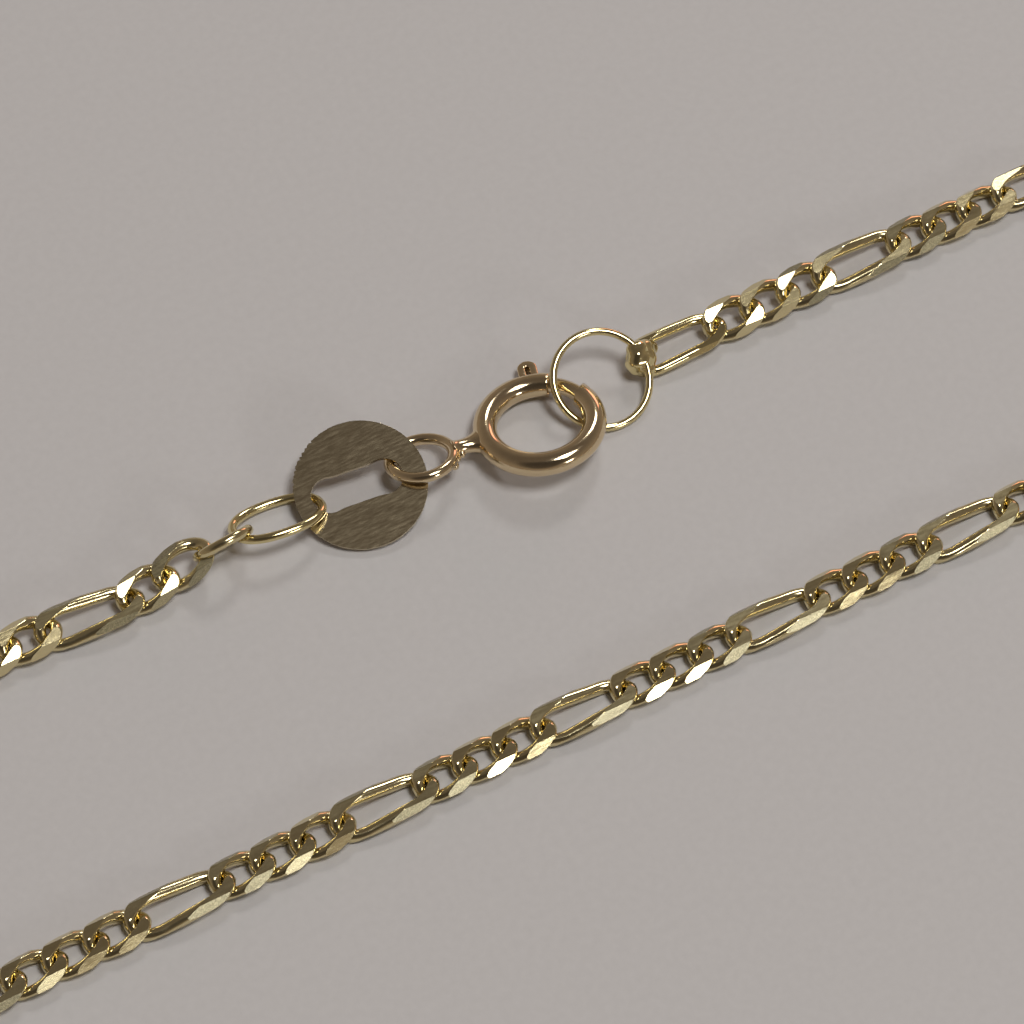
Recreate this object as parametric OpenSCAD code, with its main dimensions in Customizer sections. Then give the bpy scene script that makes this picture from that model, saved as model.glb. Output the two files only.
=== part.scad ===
// Figaro chain: one long link and three short ones, again and again, closed by a spring ring.
// Millimetres. The chain lies on its table with Z up; X runs along its two strands, +Y is the far side.
// The clasp group lies in the middle of the far strand, between the two ends of the chain.

/* [Links] */
// Thickness of the wire that the links are bent from
link_wire = 0.52; // [0.44:0.01:0.6]
// Width over a link, across the chain
link_width = 2.04; // [1.96:0.01:2.3]
// Height over the ground flats of a link
link_height = 0.94; // [0.88:0.01:1]
// Chain length that a short link takes
short_pitch = 1.895; // [1.84:0.005:2.05]
// Chain length that a long link takes
long_pitch = 3.945; // [3.2:0.005:4.8]
// Clearance between the wires of hooked links
link_gap = 0.16; // [0.14:0.01:0.2]
// Short links after each long one
shorts = 3; // [2:1:4]
// Groups of one long link and its short ones
groups = 40; // [36:1:48]
// Width of the flat link that joins the oval ring
closer_width = 2.4; // [2.3:0.02:2.5]
// Thickness of the flat link's wire
closer_wire = 0.46; // [0.4:0.01:0.5]

/* [Loop] */
// Distance between the near and the far strand
strand_gap = 14.53; // [13:0.1:18]
// Radius of the gentle bend where the strands spread
spread_r = 60; // [45:1:80]
// Radius of the loop's two round ends
end_r = 18; // [15:0.5:21]

/* [Spring ring] */
// Diameter of the ring's centreline
ring_d = 4.88; // [4.7:0.02:5.4]
// Diameter of the ring's tube
tube_d = 1.08; // [1:0.01:1.12]
// Wall of the tube
tube_wall = 0.12; // [0.08:0.01:0.14]
// Opening between the tube's ends, in degrees
mouth = 33; // [28:1:36]
// Clearance of the bolt in the tube
bolt_gap = 0.06; // [0.05:0.01:0.08]
// How far the bolt slides back, in degrees
slide = 38; // [34:1:40]
// Width of the thumb knob along the ring
knob_w = 0.9; // [0.7:0.05:1]
// Height of the thumb knob above the tube
knob_h = 0.85; // [0.6:0.05:1]
// Thickness of the knob's bent strip
knob_t = 0.5; // [0.4:0.02:0.56]

/* [Eye] */
// Diameter of the eye's centreline
eye_d = 2.86; // [2.8:0.02:3]
// Thickness of the eye's wire
eye_wire = 0.45; // [0.4:0.01:0.46]
// Length of the soldered neck between the ring and the eye
neck_len = 0.87; // [0.8:0.02:1]

/* [Tag] */
// Diameter of the tag
tag_d = 5.96; // [5.9:0.02:6.1]
// Thickness of the tag
tag_t = 0.26; // [0.2:0.01:0.28]
// Diameter of the slot's round ends
slot_end_d = 1.76; // [1.7:0.02:1.9]
// Distance between the slot's round ends
slot_span = 3; // [2.9:0.02:3.04]
// Width of the slot's waist
slot_waist = 1.35; // [1.1:0.05:1.6]

/* [Oval ring] */
// Length of the oval ring's centreline
oval_len = 4.08; // [3.9:0.02:4.4]
// Width of the oval ring's centreline
oval_wid = 2.66; // [2.5:0.02:2.9]
// Thickness of the oval ring's wire
oval_wire = 0.38; // [0.32:0.01:0.4]

/* [End ring] */
// Diameter of the end ring's centreline
end_ring_d = 4.39; // [4.3:0.02:4.6]
// Thickness of the end ring's wire
end_ring_wire = 0.35; // [0.3:0.01:0.36]
// Diameter of the solder bead
bead_d = 0.86; // [0.8:0.02:0.96]

/* [Hidden] */
$fn = 32;

// How each clasp piece lies: sideways from the strand, tilt, bearing of its high side, own turn
lay_ring = [-1.12, 11.4, -90, -11.5];
lay_end = [-0.38, 24.6, 90, 0];
lay_tag = [-0.07, 14.7, 62.6, -8.6];
lay_oval = [0.22, 26.1, -99.2, -3.6];
// The eye against its ring: sideways, up, twist about the neck
lay_eye = [-0.17, 0.17, -10.2];
// How the chain's last links lie, the last one first: along, sideways, lift, roll and turn
last_links = [[0.34, -0.02, 0.68, -63, -5], [-0.08, -0.32, 0.07, -4, -16], [0.01, -0.02, 0.04, -2, -2]];
// Slack of the pieces where they hook, along the strand
slack_end = 0.37;
slack_tag = 0.06;
slack_oval = 0.41;
slack_chain = 0.34;
// Shift of the clasp group from the middle of the far strand
clasp_shift = -0.4;

// Sizes that follow
ring_r = ring_d / 2;
tube_r = tube_d / 2;
bore_r = tube_r - tube_wall;
bolt_r = bore_r - bolt_gap;
eye_r = eye_d / 2;
end_ring_r = end_ring_d / 2;
wire_r = link_wire / 2;
strand_y = strand_gap / 2;
deg = 180 / PI;

// Angles round the spring ring: the mouth, the knob and the solid stretch behind the mouth
mouth_at = 30;
mouth_end = mouth_at + mouth;
knob_turn = asin((knob_w / 2 + bolt_gap) / (ring_r + bore_r));
knob_at = mouth_end + knob_turn + 9;
bolt_from = mouth_at - 5;
bolt_to = knob_at + knob_turn + 4;

// A link's centreline is an ellipse whose ends hook over and under their neighbours
reach = (short_pitch + link_wire + link_gap) / 2;
hook = reach - short_pitch / 2;
rise = 0.6 * (link_wire + link_gap);
per_group = shorts + 1;
count = groups * per_group;
group_len = long_pitch + shorts * short_pitch;
half_count = ceil(count / 2);

// Where the clasp pieces sit along X, each hooked on the one before
eye_at = [-(ring_r + tube_r + neck_len + eye_wire / 2 + eye_r), lay_eye[0], lay_eye[1]];
eye_rel = turned(lay_ring, eye_at);
end_off = ring_r - tube_r - end_ring_wire / 2 - slack_end + end_ring_r;
tag_off = slot_span / 2 + eye_r + slack_tag;
oval_off = slot_span / 2 + oval_len / 2 + slack_oval;
ring_run = end_off + end_ring_r - end_ring_wire / 2 - wire_r + hook;
last_run = oval_len / 2 - oval_wire / 2 - wire_r - slack_chain + hook;
clasp_run = ring_run - eye_rel.x + tag_off + oval_off + last_run;
ring_x = clasp_shift + clasp_run / 2 - ring_run;
end_x = ring_x + end_off;
tag_x = ring_x + eye_rel.x - tag_off;
oval_x = tag_x - oval_off;

// Heights at which each piece touches the table or what it leans on
ring_z = tube_r + ring_r * sin(lay_ring[1]);
end_z = end_ring_wire / 2 + end_ring_r * sin(lay_end[1]);
tag_z = tag_t / 2 * cos(lay_tag[1]) + tag_d / 2 * sin(lay_tag[1]) + 0.02;
oval_z = oval_wire / 2 + oval_wid / 2 * sin(lay_oval[1]) + 0.03;

// The loop: two straight strands that spread into round ends
bend = acos((strand_y + spread_r) / (spread_r + end_r));
bend_len = (spread_r * bend + end_r * (90 + bend)) / deg;
loop_len = groups * group_len + clasp_run;
straight = (loop_len - 4 * bend_len) / 4;
first_s = clasp_shift + clasp_run / 2;

// A point turned about Z, then with the side that faces a bearing raised
function spin(p, a) = [p.x * cos(a) - p.y * sin(a), p.x * sin(a) + p.y * cos(a), p.z];
function tip(p, a) = [p.x * cos(a) - p.z * sin(a), p.y, p.x * sin(a) + p.z * cos(a)];
function turned(lay, p) = spin(tip(spin(p, lay[3] - lay[2]), lay[1]), lay[2]);

// A quarter of the loop, from the middle of the far strand to its right end
function quarter(s) =
  s <= straight ? [s, strand_y, 0]
  : s <= straight + spread_r * bend / deg ? let (a = (s - straight) * deg / spread_r)
    [straight + spread_r * sin(a), strand_y + spread_r * (1 - cos(a)), 0]
  : let (a = 90 + bend - (s - straight - spread_r * bend / deg) * deg / end_r)
    [straight + (spread_r + end_r) * sin(bend) + end_r * cos(a), end_r * sin(a), 0];
function route(s) = let (q = loop_len / 4, u = (s + loop_len) % loop_len)
  u < q ? quarter(u)
  : u < 2 * q ? let (p = quarter(2 * q - u)) [p.x, -p.y, 0]
  : u < 3 * q ? let (p = quarter(u - 2 * q)) [-p.x, -p.y, 0]
  : let (p = quarter(4 * q - u)) [-p.x, p.y, 0];

// One link's centreline, its direction and the five corners round its wire.
// A form is half its straight stretch, half its width, its wire and its twist
corners = [[0, 1], [60, 1.12], [135, 1], [225, 1], [300, 1.12]];
side_angle = 65;
angles = [0, 30, side_angle, 180 - side_angle, 150, 180, 210, 180 + side_angle, 360 - side_angle, 330];
stations = len(angles);
function is_long(i) = i % per_group == 0;
function pitch(i) = is_long(i) ? long_pitch : short_pitch;
function start(i) = first_s + floor(i / per_group) * group_len
  + (is_long(i) ? 0 : long_pitch + (i % per_group - 1) * short_pitch);
function form(i) = i == count - 1
  ? [(pitch(i) - short_pitch) / 2, (closer_width - closer_wire) / 2 / sin(side_angle), closer_wire / 2, 0]
  : [(pitch(i) - short_pitch) / 2, (link_width - link_wire) / 2 / sin(side_angle), link_wire / 2, rise];
function centre(t, f) = [reach * cos(t) + (abs(cos(t)) < 0.01 ? 0 : sign(cos(t)) * f[0]),
  f[1] * sin(t), -f[3] * sin(2 * t)];
function along(t, f) = let (v = [-reach * sin(t), f[1] * cos(t), -2 * f[3] * cos(2 * t)]) v / norm(v);
function out_from(t, f) = let (d = along(t, f), v = [cos(t), sin(t), 0], w = v - (v * d) * d) w / norm(w);
function corner(t, f, c) = let (o = out_from(t, f), q = cross(along(t, f), o),
  p = centre(t, f) + f[2] * c[1] * (cos(c[0]) * o + sin(c[0]) * q))
  [p.x, p.y, max(-link_height / 2, min(link_height / 2, p.z))];

// A link in its place: on the route, along the chord between its two hooks, or laid by hand near the clasp
function lay_of(i) = count - 1 - i < len(last_links) ? last_links[count - 1 - i] : [0, 0, 0, 0, 0];
function link_points(i) = let (a = route(start(i)), b = route(start(i) + pitch(i)), m = (a + b) / 2,
  l = lay_of(i), r = l[3], f = form(i),
  turn = atan2(b.y - a.y, b.x - a.x) + l[4],
  up = link_height / 2 + l[2])
  [for (k = [0 : stations - 1]) for (c = corners)
    let (p = corner(angles[k], f, c),
      w = [p.x, p.y * cos(r) - p.z * sin(r), p.y * sin(r) + p.z * cos(r)])
    spin(w, turn) + m + [l[0], l[1], up]];
function link_faces(n) = let (m = len(corners))
  [for (i = [0 : n - 1]) for (k = [0 : stations - 1]) for (j = [0 : m - 1])
    let (o = i * stations * m, k2 = (k + 1) % stations, j2 = (j + 1) % m,
      a = o + k * m + j, b = o + k * m + j2, c = o + k2 * m + j2, d = o + k2 * m + j)
    each [[a, c, b], [a, d, c]]];

module links(from, to) {
  polyhedron([for (i = [from : to]) each link_points(i)], link_faces(to - from + 1), convexity = 10);
}

// Children laid down in the clasp group
module lie(lay, x, z) {
  translate([x, strand_y + lay[0], z])
    rotate([0, 0, lay[2]])
      rotate([0, -lay[1], 0])
        rotate([0, 0, lay[3] - lay[2]])
          children();
}

// A round ring of wire
module ring_of(radius, wire) {
  rotate_extrude()
    translate([radius, 0])
      circle(d = wire);
}

// A stretch of the spring ring's circle, from one angle to another
module arc_of(from, to, radius) {
  rotate([0, 0, from])
    rotate_extrude(angle = to - from)
      translate([ring_r, 0])
        circle(r = radius);
}

// A tapered rod between two points
module rod(p, q, r1, r2) {
  d = q - p;
  translate(p)
    rotate([0, acos(d.z / norm(d)), atan2(d.y, d.x)])
      cylinder(r1 = r1, r2 = r2, h = norm(d));
}

module chain_right() {
  color([0.80, 0.70, 0.42])
    links(1, half_count - 1);
}

module chain_left() {
  color([0.78, 0.68, 0.42])
    links(half_count, count - 1);
}

module oval_ring() {
  half = (oval_len - oval_wid) / 2;
  color([0.84, 0.70, 0.42])
    lie(lay_oval, oval_x, oval_z) {
      for (side = [-1, 1]) {
        translate([side * half, 0, 0])
          rotate([0, 0, -90 * side])
            rotate_extrude(angle = 180)
              translate([oval_wid / 2, 0])
                circle(d = oval_wire);
        translate([-half, side * oval_wid / 2, 0])
          rotate([0, 90, 0])
            cylinder(d = oval_wire, h = 2 * half);
      }
    }
}

module tag() {
  color([0.42, 0.36, 0.22])
    lie(lay_tag, tag_x, tag_z)
      difference() {
        cylinder(d = tag_d, h = tag_t, center = true);
        for (side = [-1, 1])
          translate([side * slot_span / 2, 0, 0])
            cylinder(d = slot_end_d, h = tag_t + 1, center = true);
        cube([slot_span, slot_waist, tag_t + 1], center = true);
      }
}

module clasp_body() {
  slot_h = knob_t + 2 * bolt_gap;
  eye_end = eye_at + [eye_r, 0, 0];
  root = [-(ring_r + tube_r / 2), 0, 0];
  waist = root + 0.55 * (eye_end - root);
  color([0.80, 0.62, 0.40])
    lie(lay_ring, ring_x, ring_z) {
      difference() {
        arc_of(mouth_end, 360 + mouth_at, tube_r);
        arc_of(mouth_end - 1, 340, bore_r);
        arc_of(360 + bolt_from - 8, 361 + mouth_at, bore_r);
        rotate([0, 0, knob_at - knob_turn])
          rotate_extrude(angle = slide + 2 * knob_turn)
            translate([ring_r, -slot_h / 2])
              square([tube_r + 1, slot_h]);
      }
      rod(root, waist, tube_r * 0.8, eye_wire * 0.6);
      rod(waist + [0.03, 0, 0], eye_end, eye_wire * 0.56, eye_wire * 0.62);
      translate(eye_at)
        rotate([lay_eye[2], 0, 0])
          ring_of(eye_r, eye_wire);
    }
}

module clasp_bolt() {
  top = tube_r + knob_h - knob_w / 2;
  color([0.76, 0.60, 0.40])
    lie(lay_ring, ring_x, ring_z) {
      arc_of(bolt_from, bolt_to, bolt_r);
      rotate([0, 0, knob_at])
        translate([ring_r, 0, -knob_t / 2])
          linear_extrude(knob_t)
            difference() {
              union() {
                translate([0, -knob_w / 2])
                  square([top, knob_w]);
                translate([top, 0])
                  circle(d = knob_w);
              }
              translate([tube_r + 0.1, -knob_w * 0.1])
                square([top - tube_r - 0.1, knob_w * 0.2]);
              translate([top, 0])
                circle(d = knob_w * 0.2);
            }
    }
}

module end_ring() {
  ring_side = [end_x, strand_y + lay_end[0], end_z] + turned(lay_end, [end_ring_r * cos(12), end_ring_r * sin(12), 0]);
  link_side = route(first_s) + [-hook, 0, link_height * 0.7];
  color([0.80, 0.70, 0.40]) {
    lie(lay_end, end_x, end_z)
      ring_of(end_ring_r, end_ring_wire);
    translate((ring_side + link_side) / 2)
      sphere(d = bead_d);
    links(0, 0);
  }
}

chain_right();
chain_left();
oval_ring();
tag();
clasp_body();
clasp_bolt();
end_ring();
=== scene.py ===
import math

import bmesh
import bpy
import numpy as np
from mathutils import Matrix, Vector


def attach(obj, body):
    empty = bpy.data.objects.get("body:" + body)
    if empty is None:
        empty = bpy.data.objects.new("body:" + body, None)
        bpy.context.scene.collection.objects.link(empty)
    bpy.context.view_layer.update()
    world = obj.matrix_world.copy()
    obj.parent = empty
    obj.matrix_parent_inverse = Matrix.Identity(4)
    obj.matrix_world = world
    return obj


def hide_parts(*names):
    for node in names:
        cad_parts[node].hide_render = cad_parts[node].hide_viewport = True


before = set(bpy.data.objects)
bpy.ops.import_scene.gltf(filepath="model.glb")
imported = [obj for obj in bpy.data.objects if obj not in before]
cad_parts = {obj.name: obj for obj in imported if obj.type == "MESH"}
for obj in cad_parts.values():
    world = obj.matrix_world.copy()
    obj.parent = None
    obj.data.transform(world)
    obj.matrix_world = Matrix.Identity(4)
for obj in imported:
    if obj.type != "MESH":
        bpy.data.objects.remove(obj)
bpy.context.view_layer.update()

MM = 0.001

# Sizes of the chain, in millimetres
SHORT_PITCH = 1.895
LONG_PITCH = 3.945
SHORTS = 3
GROUPS = 40
CLOSER_WIDTH = 2.4
CLOSER_WIRE = 0.46
STRAND_GAP = 14.53
SPREAD_R = 60
END_R = 18
CLASP_RUN = 19.6084
CLASP_SHIFT = -0.4
# A link's form: half length and half width of its oval, twist, wire radius, height between its upper and lower flats,
# and how far out (in millimetres) and how steeply (in degrees) its sides are cut
LINK_REACH = 1.25
LINK_HALF_WIDTH = 0.75
LINK_RISE = 0.25
LINK_WIRE_R = 0.29
LINK_HEIGHT = 0.80
SIDE_CUT = 0.77
LONG_SIDE_CUT = 0.85
SIDE_ANGLE = 50
# A side cut this far out misses the wire
UNCUT = 1.6
END_LINK = {"Wire": 0.245, "Rise": 0.13, "Height": 0.6, "Long Side Cut": 0.82}
# Height of a link's middle, and how far chance takes it: lift in millimetres, roll and turn in degrees
LINK_LIE = 0.42
CHANCE_LIFT = 0.026
CHANCE_ROLL = 1.6
CHANCE_TURN = 0.5
# Tone of the long links' flats, from mirror bright at 0 to granular at 1
LONG_TONE = 0.8
# How the links beside the clasp lie: along, sideways, lift, roll, tip and turn, the last link first
LAST_LINKS = [(-0.22, 0.0, 0.72, -61, 8, 0), (-0.28, 0.02, 0.47, 20, 13, 4), (-0.23, -0.18, 0.22, 17, 2, 4),
              (-0.12, -0.2, 0.14, 8, 0, -4), (0, -0.04, 0.2, 16, 0, 0), (0, 0, 0.2, 17, 0, 0),
              (0, 0, 0.2, 16, 0, 0), (0, 0, 0.1, 7, 0, 0)]
FIRST_LINKS = [(0, 0, 0.12, 10, 0, 0), (0, 0, 0.2, 17, 0, 0), (0, 0, 0.2, 16, 0, 0), (0, 0, 0.2, 17, 0, 0),
               (0, 0, 0.18, 12, 0, 0), (0, 0, 0.1, 6, 0, 0)]

# Sizes of the clasp pieces, in millimetres
RING_R = 2.44
TUBE_R = 0.54
TUBE_WALL = 0.12
BOLT_GAP = 0.06
MOUTH_AT = 30
MOUTH_END = 63
SLIDE = 38
KNOB_W = 0.9
KNOB_H = 0.85
KNOB_T = 0.5
EYE_R = 1.43
EYE_WIRE = 0.45
NECK_LEN = 0.87
EYE_LAY = (-0.17, 0.17, -10.2)
TAG_R = 2.98
TAG_T = 0.26
SLOT_END_R = 0.84
SLOT_ENDS = (1.11, 1.41)
SLOT_WAIST = 1.55
OVAL_LEN = 4.08
OVAL_WID = 2.66
OVAL_WIRE = 0.38
END_RING_R = 2.195
END_RING_WIRE = 0.35
# How deep the tube is bored from each side of the mouth, and how far its right lip slants, in degrees
BORE_LEFT = 276
BORE_RIGHT = 26
LIP_SLANT = 9
# From the mouth to the knob, and how far the bolt runs on inside the tube past the mouth and past the knob, in degrees
KNOB_FROM_MOUTH = 9
BOLT_TIP = 9
BOLT_TAIL = 4
# The neck's radius, how wide and high it flares at the ring, and how it swells at the eye
NECK_R = 0.31
FLARE_WIDE = 0.50
FLARE_HIGH = 0.13
FLARE_FADE = 4.0
EYE_SWELL = 0.14
SWELL_FADE = 7
# Radii of the eye's and the oval ring's wires, as shares of their thickness
EYE_WIRE_SHARE = 0.57
OVAL_WIRE_SHARE = 0.54
# The tag's rim: its points, where the tools notched it (in degrees), how deep, its roughness and its soft edge
RIM_POINTS = 240
NOTCH_AT = 140
NOTCH_DEPTH = 0.10
RIM_ROUGHNESS = 0.01
TAG_EDGE = 0.08
# Balls of solder that run together: place and radius, at the end ring and at the clasp's neck
SOLDER = [(9.3, 7.48, 1.25, 0.38), (9.54, 7.45, 1.2, 0.42), (9.88, 7.48, 1.0, 0.42), (10.21, 7.5, 0.75, 0.34),
          (9.3, 7.19, 1.15, 0.44), (9.15, 7.02, 1.0, 0.42), (9.46, 7.01, 0.95, 0.46), (9.8, 7.07, 0.8, 0.42),
          (9.38, 6.78, 0.75, 0.38), (9.63, 6.67, 0.55, 0.34), (9.1, 6.91, 0.7, 0.36), (8.97, 7.15, 0.8, 0.3)]
GRAINS = [(-0.59, 6.0, 1.05, 0.19), (-0.4, 6.16, 1.25, 0.17), (-0.11, 6.23, 1.35, 0.17)]

# How each clasp piece lies: sideways from the strand, tilt, bearing of its high side, own turn
LAY_RING = (-1.12, 11.4, -90, -11.5)
LAY_END = (-0.38, 24.6, 90, 0)
LAY_TAG = (-0.07, 14.7, 62.6, -8.6)
LAY_OVAL = (0.22, 26.1, -99.2, -3.6)
RING_AT = (3.75419, 1.02228)
END_AT = (7.30419, 1.08874)
TAG_AT = (-4.66419, 0.901943)
OVAL_AT = (-8.61419, 0.805119)

STRAND_Y = STRAND_GAP / 2
PER_GROUP = SHORTS + 1
COUNT = GROUPS * PER_GROUP
HALF_COUNT = math.ceil(COUNT / 2)
GROUP_LEN = LONG_PITCH + SHORTS * SHORT_PITCH
BEND = math.degrees(math.acos((STRAND_Y + SPREAD_R) / (SPREAD_R + END_R)))
BEND_LEN = math.radians(SPREAD_R * BEND + END_R * (90 + BEND))
LOOP_LEN = GROUPS * GROUP_LEN + CLASP_RUN
STRAIGHT = (LOOP_LEN - 4 * BEND_LEN) / 4
FIRST_S = CLASP_SHIFT + CLASP_RUN / 2
BORE_R = TUBE_R - TUBE_WALL
KNOB_TURN = math.degrees(math.asin((KNOB_W / 2 + BOLT_GAP) / (RING_R + BORE_R)))
KNOB_AT = MOUTH_END + KNOB_TURN + KNOB_FROM_MOUTH

# The lamps, all turned to the origin: name, place and size in metres, power in watts, colour
LAMPS = (("ceiling", (0.23, -0.20, 0.95), (0.34, 0.30), 4.25, (1.0, 0.985, 0.96)),
         ("window", (0.18, -0.64, 0.24), (0.12, 0.09), 0.45, (1.0, 0.99, 0.97)),
         ("back", (0.50, 0.57, 0.64), (0.18, 0.16), 1.3, (1.0, 0.985, 0.96)),
         ("blush", (0.62, 0.55, 0.22), (0.26, 0.16), 0.30, (1.0, 0.42, 0.34)))
# The way from the necklace to the room's darkest part
DARK_SIDE = (-0.33, -0.60, 0.73)

# The view: its height above the table and its turn in degrees, what it aims at and how far off, in metres
VIEW_HEIGHT = 57
VIEW_TURN = 28.89
VIEW_AIM = (0.00077, 0.003275, 0)
VIEW_DISTANCE = 0.2099


# ---------- where things lie ----------

def quarter(s):
    """A quarter of the loop, from the middle of the far strand to its right end."""
    spread = math.radians(SPREAD_R * BEND)
    if s <= STRAIGHT:
        return Vector((s, STRAND_Y, 0))
    if s <= STRAIGHT + spread:
        a = (s - STRAIGHT) / SPREAD_R
        return Vector((STRAIGHT + SPREAD_R * math.sin(a), STRAND_Y + SPREAD_R * (1 - math.cos(a)), 0))
    b = math.radians(BEND)
    a = math.pi / 2 + b - (s - STRAIGHT - spread) / END_R
    return Vector((STRAIGHT + (SPREAD_R + END_R) * math.sin(b) + END_R * math.cos(a), END_R * math.sin(a), 0))


def route(s):
    """A point of the loop, by its distance from the middle of the far strand."""
    q = LOOP_LEN / 4
    u = (s + LOOP_LEN) % LOOP_LEN
    if u < q:
        return quarter(u)
    if u < 2 * q:
        p = quarter(2 * q - u)
        return Vector((p.x, -p.y, 0))
    if u < 3 * q:
        p = quarter(u - 2 * q)
        return Vector((-p.x, -p.y, 0))
    p = quarter(4 * q - u)
    return Vector((-p.x, p.y, 0))


def is_long(i):
    return i % PER_GROUP == 0


def pitch(i):
    """How far a link moves the chain on."""
    return LONG_PITCH if is_long(i) else SHORT_PITCH


def start(i):
    """Where on the route a link's step begins."""
    within = 0 if is_long(i) else LONG_PITCH + (i % PER_GROUP - 1) * SHORT_PITCH
    return FIRST_S + (i // PER_GROUP) * GROUP_LEN + within


def lie(lay, at):
    """The placing of a clasp piece, as a matrix in millimetres."""
    turn = lambda a, axis: Matrix.Rotation(math.radians(a), 4, axis)
    return (Matrix.Translation((at[0], STRAND_Y + lay[0], at[1])) @ turn(lay[2], "Z") @ turn(-lay[1], "Y")
            @ turn(lay[3] - lay[2], "Z"))


RING_LIE = lie(LAY_RING, RING_AT)
END_LIE = lie(LAY_END, END_AT)
TAG_LIE = lie(LAY_TAG, TAG_AT)
OVAL_LIE = lie(LAY_OVAL, OVAL_AT)


# ---------- object helpers ----------

def shown(name, data):
    """An object in the scene that holds the data."""
    thing = bpy.data.objects.new(name, data)
    bpy.context.scene.collection.objects.link(thing)
    return thing


def settled(thing):
    """The mesh that an object's modifiers give; the modifiers are then taken off."""
    bpy.context.view_layer.update()
    mesh = bpy.data.meshes.new_from_object(thing.evaluated_get(bpy.context.evaluated_depsgraph_get()))
    thing.modifiers.clear()
    return mesh


# ---------- node helpers ----------

class Field:
    """A number that a node tree works out, so that sums read as they are written."""

    def __init__(self, tree, socket):
        self.tree = tree
        self.socket = socket

    def _math(self, kind, *others):
        node = self.tree.nodes.new("ShaderNodeMath")
        node.operation = kind
        for slot, value in enumerate((self,) + others):
            if isinstance(value, Field):
                self.tree.links.new(value.socket, node.inputs[slot])
            else:
                node.inputs[slot].default_value = value
        return Field(self.tree, node.outputs[0])

    def __add__(self, other):
        return self._math("ADD", other)

    def __sub__(self, other):
        return self._math("SUBTRACT", other)

    def __mul__(self, other):
        return self._math("MULTIPLY", other)

    def __truediv__(self, other):
        return self._math("DIVIDE", other)

    def cos(self):
        return self._math("COSINE")

    def sin(self):
        return self._math("SINE")

    def sign(self):
        return self._math("SIGN")

    def size(self):
        return self._math("ABSOLUTE")

    def root(self):
        return self._math("SQRT")

    def low(self, other):
        return self._math("MINIMUM", other)

    def high(self, other):
        return self._math("MAXIMUM", other)

    def above(self, other):
        return self._math("GREATER_THAN", other)


def new_tree(name, inputs):
    """An empty Geometry Nodes tree with named inputs: (name, kind, default)."""
    tree = bpy.data.node_groups.new(name, "GeometryNodeTree")
    for label, kind, default in inputs:
        socket = tree.interface.new_socket(label, in_out="INPUT", socket_type="NodeSocket" + kind)
        if default is not None:
            socket.default_value = default
    tree.interface.new_socket("Geometry", in_out="OUTPUT", socket_type="NodeSocketGeometry")
    return tree, tree.nodes.new("NodeGroupInput"), tree.nodes.new("NodeGroupOutput")


def add_node(tree, kind, settings=None, **inputs):
    """A node with its settings and its inputs, by name or as Fields or sockets."""
    node = tree.nodes.new(kind)
    for key, value in (settings or {}).items():
        setattr(node, key, value)
    for key, value in inputs.items():
        socket = node.inputs[key.replace("_", " ")]
        if isinstance(value, Field):
            value = value.socket
        if isinstance(value, bpy.types.NodeSocket):
            tree.links.new(value, socket)
        else:
            socket.default_value = value
    return node


# Cosine of an eighth of a turn, where a link's wire is highest
DIAGONAL = 0.7071
# A face is flat that looks this squarely along a cut's own direction, and lies this near to half the link's height
SQUARE_ON = 0.99995
NEAR_HALF = 0.499
# How much the upper flat shows the finish of the side cuts, and the size of the slabs that cut
TOP_CUT = 0.3
SLAB = 12.0


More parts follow.
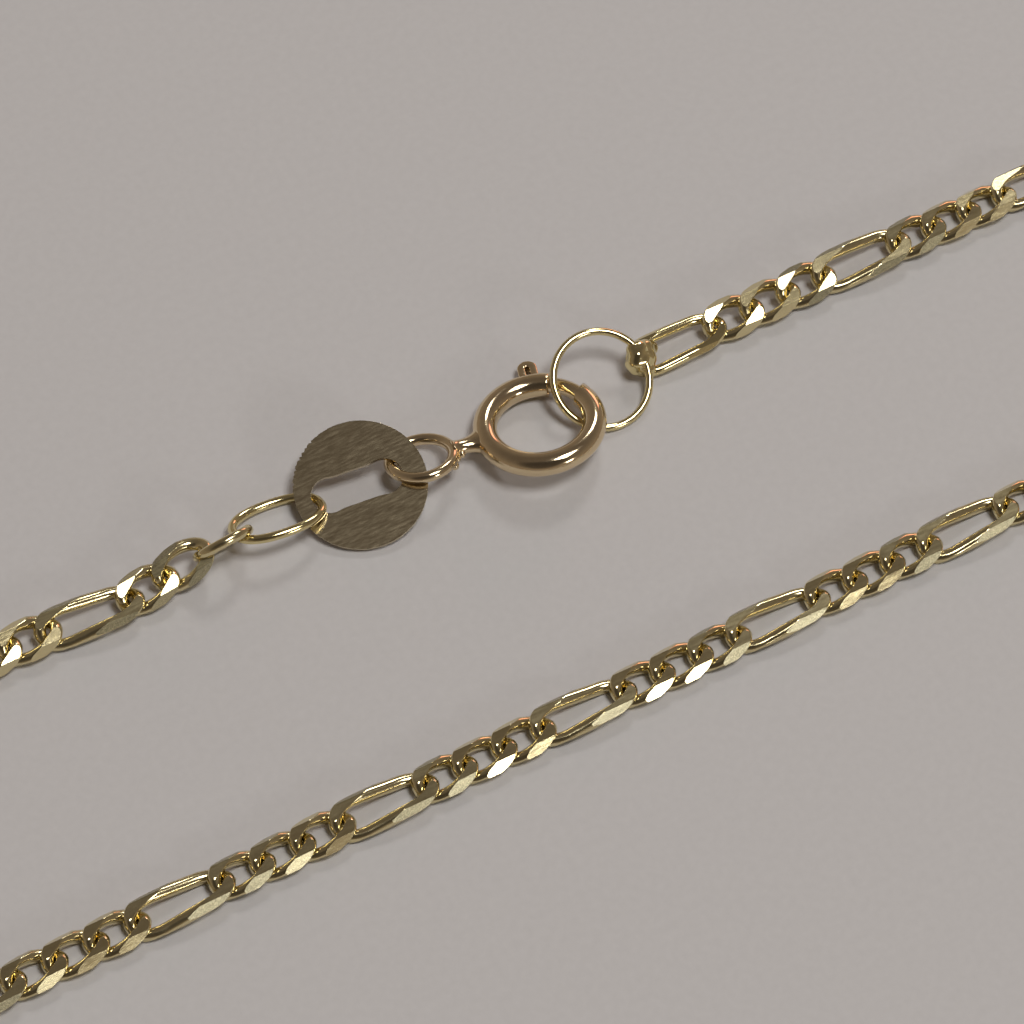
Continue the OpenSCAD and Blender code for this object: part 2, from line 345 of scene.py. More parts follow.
def bent_link_tree():
    """One link: a wire bent to a twisted oval, then cut flat above, below and along both sides."""
    tree, given, result = new_tree("bent_link", [
        ("Straight", "Float", 0.0), ("Reach", "Float", 1.2), ("Half Width", "Float", 0.76), ("Rise", "Float", 0.3),
        ("Wire", "Float", 0.26), ("Height", "Float", 0.94), ("Side Cut", "Float", 0.7), ("Side Angle", "Float", 0.8),
        ("Step", "Float", 0.12), ("Sides", "Int", 14)])
    size = {name: Field(tree, given.outputs[name]) for name in
            ("Straight", "Reach", "Half Width", "Rise", "Wire", "Height", "Side Cut", "Side Angle", "Step")}
    straight, reach = size["Straight"], size["Reach"]
    # An oval in even steps
    circle = add_node(tree, "GeometryNodeCurvePrimitiveCircle", Resolution=96, Radius=1.0)
    turn = Field(tree, add_node(tree, "GeometryNodeSplineParameter").outputs["Factor"]) * math.tau
    x = turn.cos() * reach + turn.cos().sign() * straight
    y = turn.sin() * size["Half Width"]
    flat = add_node(tree, "ShaderNodeCombineXYZ", X=x, Y=y)
    oval = add_node(tree, "GeometryNodeSetPosition", Geometry=circle.outputs["Curve"], Position=flat.outputs[0])
    even = add_node(tree, "GeometryNodeResampleCurve", {"mode": "LENGTH"}, Curve=oval.outputs[0],
                    Length=size["Step"])
    # The twist: one side of each end rises as the other sinks, most of all halfway round the end
    here = add_node(tree, "ShaderNodeSeparateXYZ", Vector=add_node(tree, "GeometryNodeInputPosition").outputs[0])
    px, py = Field(tree, here.outputs["X"]), Field(tree, here.outputs["Y"])
    crest = straight + reach * DIAGONAL
    outer = (px.size() - straight) / reach
    inner = px.size() / crest * DIAGONAL
    is_outer = px.size().above(crest)
    share = (outer * is_outer + inner * (is_outer * -1.0 + 1.0)).low(1.0).high(0.0)
    twist = share * (share * share * -1.0 + 1.0).high(0.0).root() * 2.0
    z = twist * px.sign() * py.sign() * size["Rise"] * -1.0
    lift = add_node(tree, "ShaderNodeCombineXYZ", X=px, Y=py, Z=z)
    bent = add_node(tree, "GeometryNodeSetPosition", Geometry=even.outputs[0], Position=lift.outputs[0])
    section = add_node(tree, "GeometryNodeCurvePrimitiveCircle", Radius=size["Wire"],
                       Resolution=given.outputs["Sides"])
    wire = add_node(tree, "GeometryNodeCurveToMesh", Curve=bent.outputs[0], Profile_Curve=section.outputs[0])
    wire = add_node(tree, "GeometryNodeSetShadeSmooth", Geometry=wire.outputs[0], Shade_Smooth=True)
    # The flats: only what lies inside all three slabs is kept
    cut = add_node(tree, "GeometryNodeMeshBoolean", {"operation": "INTERSECT", "solver": "EXACT"})
    tree.links.new(wire.outputs[0], cut.inputs["Mesh 2"])
    slabs = [(size["Height"], None), (size["Side Cut"] * 2.0, size["Side Angle"]),
             (size["Side Cut"] * 2.0, size["Side Angle"] * -1.0)]
    for thick, tilt in slabs:
        extent = add_node(tree, "ShaderNodeCombineXYZ", X=SLAB, Y=SLAB, Z=thick)
        slab = add_node(tree, "GeometryNodeMeshCube", Size=extent.outputs[0])
        if tilt is not None:
            lean = add_node(tree, "ShaderNodeCombineXYZ", X=tilt)
            slab = add_node(tree, "GeometryNodeTransform", Geometry=slab.outputs[0], Rotation=lean.outputs[0])
        tree.links.new(slab.outputs[0], cut.inputs["Mesh 2"])
    # The flats are marked for the finish and shaded flat
    facing = add_node(tree, "ShaderNodeSeparateXYZ", Vector=add_node(tree, "GeometryNodeInputNormal").outputs[0])
    ny, nz = Field(tree, facing.outputs["Y"]).size(), Field(tree, facing.outputs["Z"]).size()
    on_side = (ny * size["Side Angle"].sin() + nz * size["Side Angle"].cos()).above(SQUARE_ON)
    place = add_node(tree, "ShaderNodeSeparateXYZ", Vector=add_node(tree, "GeometryNodeInputPosition").outputs[0])
    on_top = nz.above(SQUARE_ON) * Field(tree, place.outputs["Z"]).size().above(size["Height"] * NEAR_HALF)
    is_flat = on_top.high(on_side)
    marked = add_node(tree, "GeometryNodeStoreNamedAttribute", {"data_type": "FLOAT", "domain": "FACE"},
                      Geometry=cut.outputs[0], Name="cut", Value=on_side.high(on_top * TOP_CUT))
    faceted = add_node(tree, "GeometryNodeSetShadeSmooth", Geometry=marked.outputs[0],
                       Selection=is_flat, Shade_Smooth=False)
    tree.links.new(faceted.outputs[0], result.inputs[0])
    return tree


def laid_chain_tree(link_tree):
    """Links laid at the points of a route: each point holds its link's form, turn and tone."""
    tree, given, result = new_tree("laid_chain", [
        ("Geometry", "Geometry", None), ("Reach", "Float", 1.2), ("Half Width", "Float", 0.76), ("Rise", "Float", 0.3),
        ("Wire", "Float", 0.26), ("Height", "Float", 0.94), ("Side Cut", "Float", 0.7), ("Side Angle", "Float", 0.8),
        ("Long Straight", "Float", 1.0), ("Long Side Cut", "Float", 0.85),
        ("Closer Half Width", "Float", 0.97), ("Closer Wire", "Float", 0.23),
        ("Material", "Material", None)])
    form = add_node(tree, "GeometryNodeInputNamedAttribute", {"data_type": "FLOAT"}, Name="form")
    turned = add_node(tree, "GeometryNodeInputNamedAttribute", {"data_type": "FLOAT_VECTOR"}, Name="turn")
    spin = add_node(tree, "FunctionNodeEulerToRotation", Euler=turned.outputs[0])
    whole = add_node(tree, "GeometryNodeJoinGeometry")
    for number, (name, changes) in enumerate((
            ("short", {}),
            ("long", {"Straight": "Long Straight", "Side Cut": "Long Side Cut"}),
            ("closer", {"Half Width": "Closer Half Width", "Wire": "Closer Wire", "Rise": 0.0, "Side Cut": UNCUT}))):
        link = tree.nodes.new("GeometryNodeGroup")
        link.node_tree = link_tree
        link.label = name
        for socket in ("Reach", "Half Width", "Rise", "Wire", "Height", "Side Cut", "Side Angle"):
            if socket not in changes:
                tree.links.new(given.outputs[socket], link.inputs[socket])
        for socket, source in changes.items():
            if isinstance(source, float):
                link.inputs[socket].default_value = source
            else:
                tree.links.new(given.outputs[source], link.inputs[socket])
        chosen = add_node(tree, "FunctionNodeCompare", {"data_type": "FLOAT", "operation": "EQUAL"},
                          A=form.outputs[0], B=float(number))
        placed = add_node(tree, "GeometryNodeInstanceOnPoints", Points=given.outputs["Geometry"],
                          Selection=chosen.outputs[0], Instance=link.outputs[0], Rotation=spin.outputs[0])
        tree.links.new(placed.outputs[0], whole.inputs[0])
    real = add_node(tree, "GeometryNodeRealizeInstances", Geometry=whole.outputs[0])
    dressed = add_node(tree, "GeometryNodeSetMaterial", Geometry=real.outputs[0], Material=given.outputs["Material"])
    tree.links.new(dressed.outputs[0], result.inputs[0])
    return tree


def grown(name, points, tree, values, attributes):
    """A mesh that a node tree grows on points, in millimetres, brought to metres."""
    mesh = bpy.data.meshes.new(name)
    mesh.from_pydata([tuple(p) for p in points], [], [])
    for label, kind, data in attributes:
        layer = mesh.attributes.new(label, kind, "POINT")
        layer.data.foreach_set("value" if kind == "FLOAT" else "vector", np.array(data, np.float32).ravel())
    seed = shown(name + "_points", mesh)
    modifier = seed.modifiers.new("grow", "NODES")
    modifier.node_group = tree
    keys = {item.name: item.identifier for item in tree.interface.items_tree
            if item.item_type == "SOCKET" and item.in_out == "INPUT"}
    for label, value in values.items():
        modifier[keys[label]] = value
    real = settled(seed)
    bpy.data.objects.remove(seed)
    real.transform(Matrix.Scale(MM, 4))
    real.name = name
    return shown(name, real)


# ---------- materials ----------

# Where a Mix node keeps its two colours and the mixed one
MIX_FIRST, MIX_SECOND, MIX_RESULT = 6, 7, 2


def mixed(tree, share, first, second):
    """A colour between two, by a share; each is a colour or a socket."""
    mix = tree.nodes.new("ShaderNodeMix")
    mix.data_type = "RGBA"
    tree.links.new(share, mix.inputs[0])
    for slot, color in ((MIX_FIRST, first), (MIX_SECOND, second)):
        if isinstance(color, bpy.types.NodeSocket):
            tree.links.new(color, mix.inputs[slot])
        else:
            mix.inputs[slot].default_value = (*color, 1)
    return mix.outputs[MIX_RESULT]


def ranged(tree, value, source, target=(0.0, 1.0), ease="LINEAR"):
    """A value brought from one range to another."""
    span = tree.nodes.new("ShaderNodeMapRange")
    span.interpolation_type = ease
    span.inputs["From Min"].default_value, span.inputs["From Max"].default_value = source
    span.inputs["To Min"].default_value, span.inputs["To Max"].default_value = target
    tree.links.new(value, span.inputs["Value"])
    return span.outputs[0]


def ramp(tree, value, *stops):
    """A colour by a value, between two stops of position and colour."""
    node = tree.nodes.new("ShaderNodeValToRGB")
    tree.links.new(value, node.inputs[0])
    for number, (position, color) in enumerate(stops):
        node.color_ramp.elements[number].position = position
        node.color_ramp.elements[number].color = (*color, 1)
    return node.outputs[0]


def noise(tree, vector, scale, detail, roughness=0.5):
    """A noise over a vector; its scale is a number or a socket."""
    texture = tree.nodes.new("ShaderNodeTexNoise")
    texture.inputs["Detail"].default_value = detail
    texture.inputs["Roughness"].default_value = roughness
    tree.links.new(vector, texture.inputs["Vector"])
    if isinstance(scale, bpy.types.NodeSocket):
        tree.links.new(scale, texture.inputs["Scale"])
    else:
        texture.inputs["Scale"].default_value = scale
    return texture.outputs["Fac"]


def relief(tree, height, strength, distance):
    """A normal that a height bends."""
    bump = tree.nodes.new("ShaderNodeBump")
    bump.inputs["Strength"].default_value = strength
    bump.inputs["Distance"].default_value = distance
    tree.links.new(height, bump.inputs["Height"])
    return bump.outputs[0]


def new_material(name):
    """A material with its node tree and its shader."""
    material = bpy.data.materials.new(name)
    material.use_nodes = True
    return material, material.node_tree, material.node_tree.nodes["Principled BSDF"]


def tone_group():
    """Fine wear of polished gold: a mottled tone, scratches and a bump height, from object coordinates."""
    group = bpy.data.node_groups.new("gold_wear", "ShaderNodeTree")
    for label, default in (("Grain", 5000.0), ("Streak", 9000.0), ("Depth", 0.5)):
        group.interface.new_socket(label, in_out="INPUT", socket_type="NodeSocketFloat").default_value = default
    for label in ("Mottle", "Scratch", "Height"):
        group.interface.new_socket(label, in_out="OUTPUT", socket_type="NodeSocketFloat")
    given, result = group.nodes.new("NodeGroupInput"), group.nodes.new("NodeGroupOutput")
    place = group.nodes.new("ShaderNodeTexCoord").outputs["Object"]
    stretch = group.nodes.new("ShaderNodeMapping")
    stretch.inputs["Scale"].default_value = (0.12, 1.0, 1.0)
    stretch.inputs["Rotation"].default_value = (0.0, 0.0, 0.35)
    group.links.new(place, stretch.inputs["Vector"])
    mottle = noise(group, place, given.outputs["Grain"], 4)
    scratch = noise(group, stretch.outputs[0], given.outputs["Streak"], 6, 0.7)
    height = (Field(group, scratch) * 0.5 + Field(group, mottle)) * Field(group, given.outputs["Depth"])
    group.links.new(mottle, result.inputs["Mottle"])
    group.links.new(scratch, result.inputs["Scratch"])
    group.links.new(height.socket, result.inputs["Height"])
    return group


def cut_flats(tree, tone, gloss):
    """The flats that the cutter left: mirror bright on some links and granular on others, by each link's tone."""
    cut, tone_of = tree.nodes.new("ShaderNodeAttribute"), tree.nodes.new("ShaderNodeAttribute")
    cut.attribute_name, tone_of.attribute_name = "cut", "tone"
    matt = Field(tree, ranged(tree, tone_of.outputs["Fac"], (0.45, 0.75)))
    granular = matt * Field(tree, cut.outputs["Fac"])
    rougher = granular * 0.2 + Field(tree, gloss)
    place = tree.nodes.new("ShaderNodeTexCoord").outputs["Object"]
    dots = ramp(tree, noise(tree, place, 19000, 3), (0.38, (0.30, 0.27, 0.18)), (0.66, (0.60, 0.55, 0.35)))
    return mixed(tree, granular.socket, tone, dots), rougher.socket


def gold(name, color, shade, rough, wear, grain=5000.0, bump=0.15, cuts=False):
    """Polished gold: its colour, the darker tone of its mottling, a roughness range and its fine wear."""
    material, tree, shader = new_material(name)
    shader.inputs["Metallic"].default_value = 1.0
    worn = tree.nodes.new("ShaderNodeGroup")
    worn.node_tree = wear
    worn.inputs["Grain"].default_value = grain
    tone = mixed(tree, worn.outputs["Mottle"], shade, color)
    gloss = ranged(tree, worn.outputs["Scratch"], (0.3, 0.7), rough)
    if cuts:
        tone, gloss = cut_flats(tree, tone, gloss)
    tree.links.new(tone, shader.inputs["Base Color"])
    tree.links.new(gloss, shader.inputs["Roughness"])
    tree.links.new(relief(tree, worn.outputs["Height"], bump, 0.00002), shader.inputs["Normal"])
    return material


# ---------- mesh helpers ----------

def made(name, verts, faces, material, matrix):
    """A mesh piece from millimetre points, placed, in metres."""
    mesh = bpy.data.meshes.new(name)
    mesh.from_pydata([tuple(v) for v in verts], [], [tuple(f) for f in faces])
    mesh.transform(matrix)
    mesh.transform(Matrix.Scale(MM, 4))
    mesh.polygons.foreach_set("use_smooth", [True] * len(mesh.polygons))
    shape = bmesh.new()
    shape.from_mesh(mesh)
    bmesh.ops.recalc_face_normals(shape, faces=shape.faces)
    shape.to_mesh(mesh)
    shape.free()
    mesh.materials.append(material)
    return shown(name, mesh)


def tube(path, radii, sides, closed=False):
    """Points and faces of a round section carried along a path; open ends are capped."""
    n = len(path)
    pts = [Vector(p) for p in path]
    verts, faces = [], []
    along = []
    for i in range(n):
        a = pts[(i - 1) % n] if closed or i else pts[0]
        b = pts[(i + 1) % n] if closed or i < n - 1 else pts[-1]
        along.append((b - a).normalized())
    side = Vector((0, 0, 1)) if abs(along[0].z) < 0.8 else Vector((1, 0, 0))
    for i in range(n):
        d = along[i]
        side = (side - d * side.dot(d)).normalized()
        up = d.cross(side)
        r = radii[i] if hasattr(radii, "__len__") else radii
        for j in range(sides):
            t = math.tau * j / sides
            verts.append(pts[i] + side * (r * math.cos(t)) + up * (r * math.sin(t)))
    for i in range(n if closed else n - 1):
        k = (i + 1) % n
        for j in range(sides):
            m = (j + 1) % sides
            faces.append((i * sides + j, i * sides + m, k * sides + m, k * sides + j))
    if not closed:
        faces.append(tuple(range(sides - 1, -1, -1)))
        faces.append(tuple(range((n - 1) * sides, n * sides)))
    return verts, faces


def joined(*parts):
    """Several point and face lists as one."""
    verts, faces = [], []
    for v, f in parts:
        base = len(verts)
        verts += list(v)
        faces += [tuple(base + i for i in face) for face in f]
    return verts, faces


def arc(radius, a, b, count):
    """Points of an arc round the origin, from one angle to another."""
    return [(radius * math.cos(math.radians(a + (b - a) * i / count)),
             radius * math.sin(math.radians(a + (b - a) * i / count)), 0) for i in range(count + 1)]


def ball(x, y, z, radius):
    """Points and faces of a ball."""
    shape = bmesh.new()
    bmesh.ops.create_icosphere(shape, subdivisions=3, radius=radius)
    points = [v.co + Vector((x, y, z)) for v in shape.verts]
    faces = [[v.index for v in f.verts] for f in shape.faces]
    shape.free()
    return points, faces


# ---------- floor, light and camera ----------

def area_light(name, at, size, power, color):
    """A rectangular lamp turned to the origin."""
    data = bpy.data.lights.new(name, "AREA")
    data.shape = "RECTANGLE"
    data.size, data.size_y = size
    data.energy = power
    data.color = color
    lamp = shown(name, data)
    lamp.location = at
    lamp.rotation_euler = (-Vector(at)).to_track_quat("-Z", "Y").to_euler()


def paper_floor():
    """A sheet of pale paper with a fine fibre."""
    paper, tree, shader = new_material("paper")
    shader.inputs["Roughness"].default_value = 0.85
    place = tree.nodes.new("ShaderNodeTexCoord").outputs["Object"]
    fibre = noise(tree, place, 2600, 5)
    tree.links.new(mixed(tree, fibre, (0.595, 0.58, 0.58), (0.655, 0.64, 0.64)), shader.inputs["Base Color"])
    tree.links.new(relief(tree, fibre, 0.08, 0.00005), shader.inputs["Normal"])
    mesh = bpy.data.meshes.new("floor")
    mesh.from_pydata([(-3, -3, 0), (3, -3, 0), (3, 3, 0), (-3, 3, 0)], [], [(0, 1, 2, 3)])
    mesh.materials.append(paper)
    floor = shown("floor", mesh)


def room():
    """A dim room: dark overhead, paler near its floor, and darkest to one side."""
    world = bpy.data.worlds.new("room")
    bpy.context.scene.world = world
    world.use_nodes = True
    tree = world.node_tree
    place = tree.nodes.new("ShaderNodeTexCoord").outputs["Generated"]
    parts = tree.nodes.new("ShaderNodeSeparateXYZ")
    tree.links.new(place, parts.inputs[0])
    walls = ramp(tree, parts.outputs["Z"], (0.1, (0.25, 0.205, 0.165)), (0.85, (0.115, 0.095, 0.08)))
    toward = tree.nodes.new("ShaderNodeVectorMath")
    toward.operation = "DOT_PRODUCT"
    toward.inputs[1].default_value = DARK_SIDE
    tree.links.new(place, toward.inputs[0])
    darkness = ranged(tree, toward.outputs["Value"], (0.74, 0.94), (0.0, 0.7), "SMOOTHSTEP")
    tree.links.new(mixed(tree, darkness, walls, (0.02, 0.017, 0.015)), tree.nodes["Background"].inputs[0])


def camera():
    """The photograph's viewing angle."""
    data = bpy.data.cameras.new("camera")
    data.lens = 168.0
    data.sensor_width = 36.0
    data.clip_start = 0.01
    eye = shown("camera", data)
    up, turn = math.radians(VIEW_HEIGHT), math.radians(VIEW_TURN)
    away = Vector((-math.sin(turn) * math.cos(up), -math.cos(turn) * math.cos(up), math.sin(up)))
    eye.location = Vector(VIEW_AIM) + away * VIEW_DISTANCE
    eye.rotation_euler = (-away).to_track_quat("-Z", "Y").to_euler()
    bpy.context.scene.camera = eye
    bpy.context.scene.view_settings.view_transform = "Standard"


camera()
paper_floor()
room()
for lamp in LAMPS:
    area_light(*lamp)

# ---------- finishes ----------

WEAR = tone_group()
LINK_GOLD = gold("link_gold", (0.80, 0.70, 0.42), (0.70, 0.60, 0.34), (0.10, 0.20), WEAR, cuts=True)
WIRE_GOLD = gold("wire_gold", (0.84, 0.74, 0.42), (0.74, 0.62, 0.32), (0.08, 0.15), WEAR, bump=0.08)
RING_GOLD = gold("ring_gold", (0.82, 0.68, 0.45), (0.72, 0.57, 0.36), (0.08, 0.16), WEAR, grain=3000, bump=0.06)
# The tag's gold is painted darker than the other golds: painted shade for the dim overhead that its flat face mirrors.
TAG_GOLD = gold("tag_gold", (0.62, 0.53, 0.36), (0.50, 0.43, 0.29), (0.10, 0.20), WEAR, grain=2500, bump=0.05)


# ---------- the chain ----------

def lay_links(name, first, last, tree, material, changes=()):
    """The links from one number to another, laid along the route."""
    rng = np.random.default_rng(first + 5)
    points, forms, turns, tones = [], [], [], []
    for i in range(first, last + 1):
        a, b = route(start(i)), route(start(i) + pitch(i))
        end = COUNT - 1 - i
        laid = (LAST_LINKS[end] if end < len(LAST_LINKS) else FIRST_LINKS[i] if i < len(FIRST_LINKS)
                else (0, 0, 0, 0, 0, 0))
        along, aside, raised, roll, tip, extra = laid
        heading = math.atan2(b.y - a.y, b.x - a.x)
        chance = rng.normal(0, 1, 3)
        lift = LINK_LIE + raised + CHANCE_LIFT * abs(chance[0])
        points.append((a + b) / 2 + Vector((along, aside, lift)))
        forms.append(2 if i == COUNT - 1 else 1 if is_long(i) else 0)
        turns.append((math.radians(roll + CHANCE_ROLL * chance[0]), math.radians(-tip + CHANCE_TURN * chance[1]),
                      heading + math.radians(extra + CHANCE_TURN * chance[2])))
        tones.append(LONG_TONE if is_long(i) else rng.random())
    sizes = {
        "Reach": LINK_REACH, "Half Width": LINK_HALF_WIDTH, "Rise": LINK_RISE, "Wire": LINK_WIRE_R,
        "Height": LINK_HEIGHT, "Side Cut": SIDE_CUT, "Side Angle": math.radians(SIDE_ANGLE),
        "Long Straight": (LONG_PITCH - SHORT_PITCH) / 2, "Long Side Cut": LONG_SIDE_CUT,
        "Closer Half Width": (CLOSER_WIDTH - CLOSER_WIRE) / 2, "Closer Wire": CLOSER_WIRE / 2,
        "Material": material}
    sizes.update(changes)
    return grown(name, points, tree, sizes, [
        ("form", "FLOAT", forms), ("turn", "FLOAT_VECTOR", turns), ("tone", "FLOAT", tones)])


LINK_TREE = bent_link_tree()
CHAIN_TREE = laid_chain_tree(LINK_TREE)
for name, first, last, node in (("chain_right_links", 1, HALF_COUNT - 1, "chain_right"),
                                ("chain_left_links", HALF_COUNT, COUNT - 1, "chain_left")):
    links = lay_links(name, first, last, CHAIN_TREE, LINK_GOLD)
    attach(links, "necklace")
    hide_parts(node)


# ---------- the end ring, its bead and the end link ----------

def end_ring_piece():
    """The end ring and the end link, with the solder that has run together round them."""
    end_link = lay_links("end_link", 0, 0, CHAIN_TREE, WIRE_GOLD, END_LINK)
    circle = arc(END_RING_R, 0, 360 - 360 / 96, 95)
    ring = made("end_ring_wire", *tube(circle, END_RING_WIRE / 2, 18, closed=True), WIRE_GOLD, END_LIE)
    verts, faces = joined(*[ball(*drop) for drop in SOLDER])
    mesh = bpy.data.meshes.new("end_bead")
    mesh.from_pydata([tuple(v) for v in verts], [], faces)
    bead = shown("end_bead", mesh)
    fuse = bead.modifiers.new("fuse", "REMESH")
    fuse.mode = "VOXEL"
    fuse.voxel_size = 0.03
    smooth = bead.modifiers.new("smooth", "SMOOTH")
    smooth.factor = 0.8
    smooth.iterations = 60
    bead.data = settled(bead)
    bead.data.transform(Matrix.Scale(MM, 4))
    bead.data.polygons.foreach_set("use_smooth", [True] * len(bead.data.polygons))
    bead.data.materials.clear()
    bead.data.materials.append(WIRE_GOLD)
    for piece in (end_link, ring, bead):
        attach(piece, "necklace")
    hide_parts("end_ring")


end_ring_piece()


# ---------- the oval ring ----------

def oval_ring_piece():
    """The oval ring, a little squarer than an ellipse."""
    points, squareness = 96, 0.86
    path = []
    for k in range(points):
        t = math.tau * k / points
        c, s = math.cos(t), math.sin(t)
        path.append((math.copysign(abs(c) ** squareness, c) * OVAL_LEN / 2,
                     math.copysign(abs(s) ** squareness, s) * (OVAL_WID / 2), 0))
    ring = made("oval_wire", *tube(path, OVAL_WIRE * OVAL_WIRE_SHARE, 20, closed=True), WIRE_GOLD, OVAL_LIE)
    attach(ring, "necklace")
    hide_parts("oval_ring")


oval_ring_piece()


# ---------- the tag ----------

def eased(outline, step, reach):
    """A closed outline of even steps whose corners are rounded by averaging over a reach of points."""
    dense = []
    for i in range(len(outline)):
        a, b = np.array(outline[i]), np.array(outline[(i + 1) % len(outline)])
        n = max(1, round(float(np.linalg.norm(b - a)) / step))
        dense += [a + (b - a) * k / n for k in range(n)]
    dense = np.array(dense)
    return [tuple(p) for p in sum(np.roll(dense, k, axis=0) for k in range(-reach, reach + 1)) / (2 * reach + 1)]


def tag_rim():
    """The tag's outline, its left edge notched by tools."""
    rng = np.random.default_rng(14)
    rim = []
    for k in range(RIM_POINTS):
        a = math.tau * k / RIM_POINTS
        left = max(0.0, math.cos(a - math.radians(NOTCH_AT))) ** 6
        r = TAG_R - left * NOTCH_DEPTH * rng.random() * (k % 3 != 0) - RIM_ROUGHNESS * rng.random()
        rim.append((r * math.cos(a), r * math.sin(a)))
    return rim


def tag_slot():
    """The outline of the bone-shaped slot: a round hole at each end and a waist, its corners eased."""
    half_waist, r, steps = SLOT_WAIST / 2, SLOT_END_R, 32
    open_angle = math.degrees(math.asin(half_waist / r))
    slot = []
    for side, base, half in ((1, 0, SLOT_ENDS[0]), (-1, 180, SLOT_ENDS[1])):
        for k in range(steps + 1):
            a = math.radians(base - 180 + open_angle + (360 - 2 * open_angle) * k / steps)
            slot.append((side * half + r * math.cos(a), r * math.sin(a)))
    return eased(slot, 0.04, 5)


def tag_piece():
    """A round sheet with its slot, its edges softened."""
    shape = bmesh.new()
    loops = []
    for outline in (tag_rim(), tag_slot()):
        ring = [shape.verts.new((x, y, 0)) for x, y in outline]
        loops += [shape.edges.new((ring[i], ring[(i + 1) % len(ring)])) for i in range(len(ring))]
    bmesh.ops.triangle_fill(shape, edges=loops, use_beauty=True)
    mesh = bpy.data.meshes.new("tag_plate")
    shape.to_mesh(mesh)
    shape.free()
    plate = shown("tag_plate", mesh)
    thick = plate.modifiers.new("thick", "SOLIDIFY")
    thick.thickness = TAG_T
    thick.offset = 0
    soft = plate.modifiers.new("soft", "BEVEL")
    soft.width = TAG_EDGE
    soft.segments = 3
    soft.limit_method = "ANGLE"
    soft.angle_limit = math.radians(50)
    real = settled(plate)
    plate.data = real
    rounded = [abs(p.normal.z) < 0.999 for p in real.polygons]
    real.transform(TAG_LIE)
    real.transform(Matrix.Scale(MM, 4))
    real.materials.clear()
    real.materials.append(TAG_GOLD)
    real.set_sharp_from_angle(angle=math.radians(35))
    real.polygons.foreach_set("use_smooth", rounded)
    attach(plate, "necklace")
    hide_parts("tag")


tag_piece()


# ---------- the spring ring ----------

def ring_tube(a, b, r_out, r_in, depth_a, depth_b, slant, steps=120, sides=40):
    """A hollow arc of tube with rolled lips: bored to a depth from each end, its second end slanted, in degrees."""
    lip, rounds, shut = 0.03, 5, 0.001
    lip_turn = math.degrees(lip / RING_R)
    middle, band = (r_out + r_in) / 2, (r_out - r_in) / 2
    rolled = [math.pi * k / rounds for k in range(1, rounds)]
    # Along the outside, round the second end's lip and down its bore: angle and radius of each circle
    outer = [(a + lip_turn + (b - a - 2 * lip_turn) * k / steps, r_out) for k in range(steps + 1)]
    outer += [(b - lip_turn + lip_turn * math.sin(t), middle + band * math.cos(t)) for t in rolled]
    outer += [(b - lip_turn, r_in), (b - depth_b, r_in), (b - depth_b, shut)]
    # Up the first end's bore and round its lip
    inner = [(a + depth_a, shut)]
    inner += [(a + depth_a - (depth_a - lip_turn) * k / steps, r_in) for k in range(steps + 1)]
    inner += [(a + lip_turn - lip_turn * math.sin(t), middle - band * math.cos(t)) for t in rolled]
    verts, faces = [], []
    for angle, r in outer + inner:
        for j in range(sides):
            t = math.tau * j / sides
            back = slant * (1 - math.cos(t)) / 2 * max(0.0, 1 - (b - angle) / (3 * slant))
            ca, sa = math.cos(math.radians(angle - back)), math.sin(math.radians(angle - back))
            radial = RING_R + r * math.cos(t)
            verts.append((radial * ca, radial * sa, r * math.sin(t)))
    rows = [range(base, base + sides) for base in range(0, len(verts), sides)]
    for i, row in enumerate(rows):
        if i == len(outer) - 1:
            continue
        after = rows[(i + 1) % len(rows)]
        for j in range(sides):
            m = (j + 1) % sides
            faces.append((row[j], row[m], after[m], after[j]))
    faces += [tuple(rows[len(outer) - 1]), tuple(rows[len(outer)])]
    return verts, faces


def thumb_slot():
    """The block that cuts the thumb slot out of the ring's outer wall."""
    block = bmesh.new()
    low, high = KNOB_AT - KNOB_TURN, KNOB_AT + KNOB_TURN + SLIDE
    inner, outer, half = RING_R, RING_R + 1.2, KNOB_T / 2 + BOLT_GAP
    steps = 24
    rows = []
    for k in range(steps + 1):
        a = math.radians(low + (high - low) * k / steps)
        rows.append([block.verts.new((r * math.cos(a) * MM, r * math.sin(a) * MM, z * MM))
                     for r, z in ((inner, -half), (outer, -half), (outer, half), (inner, half))])
    for k in range(steps):
        for j in range(4):
            m = (j + 1) % 4
            block.faces.new((rows[k][j], rows[k][m], rows[k + 1][m], rows[k + 1][j]))
    block.faces.new(rows[0])
    block.faces.new(rows[-1])
    bmesh.ops.recalc_face_normals(block, faces=block.faces)
    mesh = bpy.data.meshes.new("thumb_slot")
    block.to_mesh(mesh)
    block.free()
    return shown("thumb_slot", mesh)


def clasp_shell():
    """The ring's tube with its mouth and thumb slot; it is cut before it is laid down."""
    shell = made("clasp_shell", *ring_tube(MOUTH_END, 360 + MOUTH_AT, TUBE_R, BORE_R, BORE_LEFT, BORE_RIGHT, LIP_SLANT),
                 RING_GOLD, Matrix.Identity(4))
    cutter = thumb_slot()
    slot = shell.modifiers.new("slot", "BOOLEAN")
    slot.operation = "DIFFERENCE"
    slot.solver = "EXACT"
    slot.object = cutter
    real = settled(shell)
    bpy.data.objects.remove(cutter)
    shell.data = real
    real.transform(Matrix.Scale(1 / MM, 4))
    real.transform(RING_LIE)
    real.transform(Matrix.Scale(MM, 4))
    real.set_sharp_from_angle(angle=math.radians(40))
    return shell


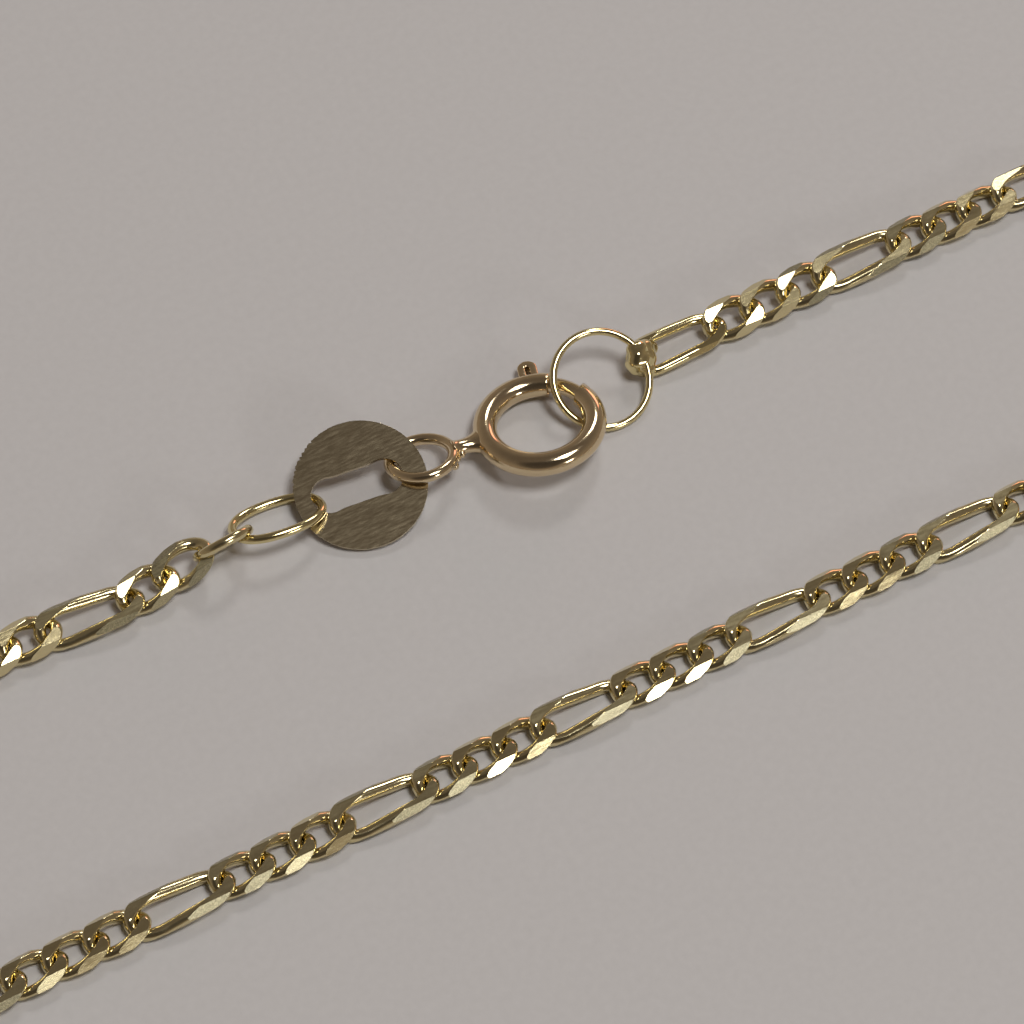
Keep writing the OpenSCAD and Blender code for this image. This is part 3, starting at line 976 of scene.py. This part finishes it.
def clasp_eye():
    """The eye and its soldered neck, which swells where it meets the ring and the eye."""
    eye = Vector((-(RING_R + TUBE_R + NECK_LEN + EYE_WIRE / 2 + EYE_R), EYE_LAY[0], EYE_LAY[1]))
    root, tip = Vector((-(RING_R + TUBE_R * 0.55), 0, 0)), eye + Vector((EYE_R, 0, 0))
    steps, sides = 48, 24
    path, radii, heights = [], [], []
    for k in range(steps + 1):
        t = k / steps
        eye_swell = EYE_SWELL * math.exp(-(1 - t) * SWELL_FADE)
        flare = math.exp(-t * FLARE_FADE)
        path.append(root.lerp(tip, t))
        radii.append(NECK_R + FLARE_WIDE * flare + eye_swell)
        heights.append(NECK_R + FLARE_HIGH * flare + eye_swell)
    neck = tube(path, radii, sides)
    for number, v in enumerate(neck[0]):
        k = number // sides
        v.z = path[k].z + (v.z - path[k].z) * heights[k] / radii[k]
    place = Matrix.Translation(eye) @ Matrix.Rotation(math.radians(EYE_LAY[2]), 4, "X")
    ring = tube([place @ Vector(p) for p in arc(EYE_R, 0, 360 - 360 / 80, 79)], EYE_WIRE * EYE_WIRE_SHARE, 20,
                closed=True)
    into = RING_LIE.inverted()
    grains = []
    for grain in GRAINS:
        points, faces = ball(*grain)
        grains.append(([into @ p for p in points], faces))
    return made("clasp_eye", *joined(neck, ring, *grains), RING_GOLD, RING_LIE)


def clasp_body_piece():
    shell, loop = clasp_shell(), clasp_eye()
    for piece in (shell, loop):
        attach(piece, "necklace")
    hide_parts("clasp_body")


def knob_strip():
    """The thumb knob: a strip bent double, standing out of the slot."""
    foot, top = TUBE_R * 0.5, TUBE_R + KNOB_H - KNOB_W / 2
    mid, thick = KNOB_W * 0.3, KNOB_W * 0.4
    outline = [(foot, -mid), (top, -mid)]
    outline += [(top + mid * math.sin(t * math.pi / 12), -mid * math.cos(t * math.pi / 12)) for t in range(1, 12)]
    outline += [(top, mid), (foot, mid)]
    half_t, half_h, r = thick / 2, KNOB_T / 2, 0.07
    section = []
    for cx, cz, a0 in ((half_t - r, half_h - r, 0), (-half_t + r, half_h - r, 90),
                       (-half_t + r, -half_h + r, 180), (half_t - r, -half_h + r, 270)):
        for s in range(4):
            t = math.radians(a0 + 30 * s)
            section.append((cx + r * math.cos(t), cz + r * math.sin(t)))
    verts, faces = [], []
    n, m = len(outline), len(section)
    for i, (x, y) in enumerate(outline):
        d = (Vector(outline[min(n - 1, i + 1)]) - Vector(outline[max(0, i - 1)])).normalized()
        verts += [(x + d.y * u, y - d.x * u, z) for u, z in section]
    for i in range(n - 1):
        for j in range(m):
            k = (j + 1) % m
            faces.append((i * m + j, i * m + k, (i + 1) * m + k, (i + 1) * m + j))
    faces.append(tuple(range(m)))
    faces.append(tuple(range((n - 1) * m, n * m)))
    out = Matrix.Rotation(math.radians(KNOB_AT), 4, "Z") @ Matrix.Translation((RING_R, 0, 0))
    return [out @ Vector(v) for v in verts], faces


def clasp_bolt_piece():
    """The bolt, a bent rod with a rounded tip, and its knob."""
    steps = 60
    path = arc(RING_R, MOUTH_AT - BOLT_TIP, KNOB_AT + KNOB_TURN + BOLT_TAIL, steps)
    radii = []
    for k in range(steps + 1):
        tip = min(1.0, (k + 0.4) / 4)
        radii.append((BORE_R - BOLT_GAP) * math.sqrt(1 - (1 - tip) ** 2 * 0.85))
    bolt = made("clasp_bolt_rod", *joined(tube(path, radii, 24), knob_strip()), RING_GOLD, RING_LIE)
    bolt.data.set_sharp_from_angle(angle=math.radians(50))
    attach(bolt, "bolt")
    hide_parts("clasp_bolt")


clasp_body_piece()
clasp_bolt_piece()
